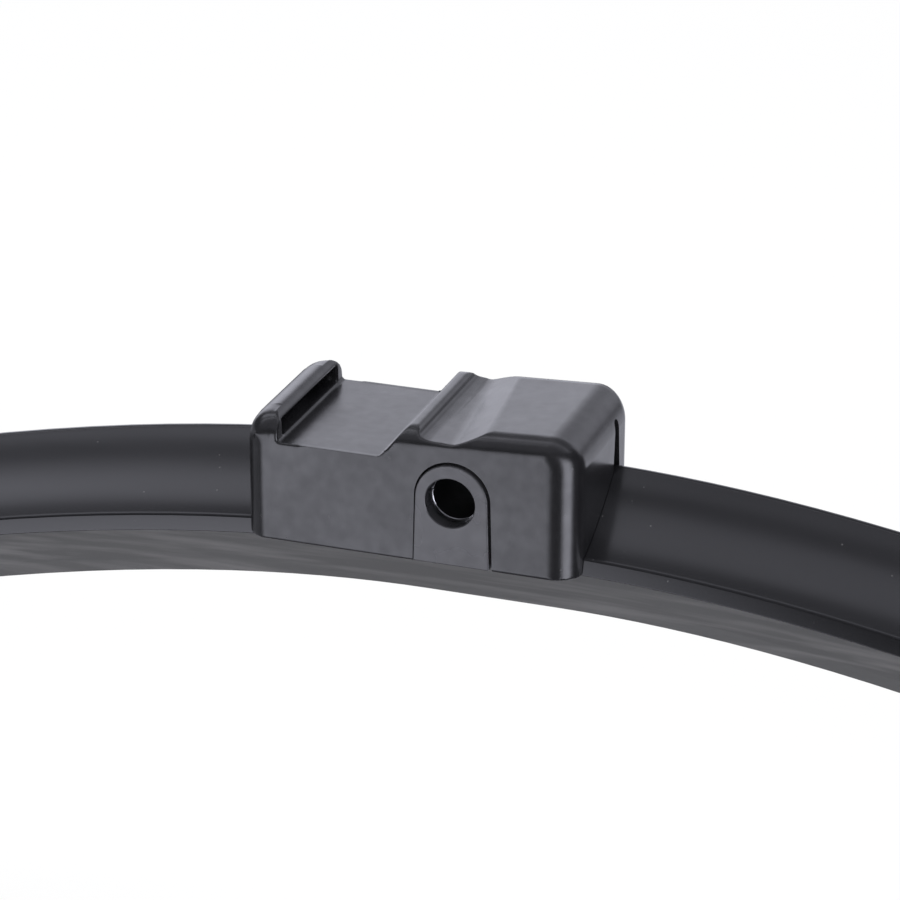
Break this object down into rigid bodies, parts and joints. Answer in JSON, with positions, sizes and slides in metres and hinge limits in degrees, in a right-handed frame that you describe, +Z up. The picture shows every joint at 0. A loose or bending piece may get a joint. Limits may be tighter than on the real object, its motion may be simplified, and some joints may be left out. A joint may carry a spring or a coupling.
{
  "type": "wiper blade",
  "caption": "Curved beam wiper blade with an asymmetric air spoiler and a side-pin connector with a strap tray and a finger groove.",
  "frame": {"origin": "middle of the pivot bush's bore, where the wiper arm's side pin goes through the connector", "axes": "+X along the blade towards the connector's hump end, +Y along the pivot bore towards the spoiler's ridge side, +Z up and away from the glass"},
  "size_m": [0.4348, 0.0218, 0.0842],
  "materials": {
    "cover_plastic": "semi-gloss moulded",
    "carrier_plastic": "semi-gloss moulded",
    "bush_steel": "turned steel",
    "bracket_zinc": "die-cast zinc",
    "spring_steel": "rolled spring steel",
    "wiper_rubber": "matte extruded rubber",
    "spoiler_elastomer": "smooth extruded elastomer"
  },
  "bodies": {
    "root": {"connector_cover": "cover_plastic", "connector_carrier": "carrier_plastic", "pivot_bush": "bush_steel", "rail_bracket": "bracket_zinc", "rail_front": "spring_steel", "rail_rear": "spring_steel", "wiper_rubber": "wiper_rubber", "spoiler_left": "spoiler_elastomer", "spoiler_right": "spoiler_elastomer", "end_cap_left": "cover_plastic", "end_cap_right": "cover_plastic"}
  },
  "joints": []
}
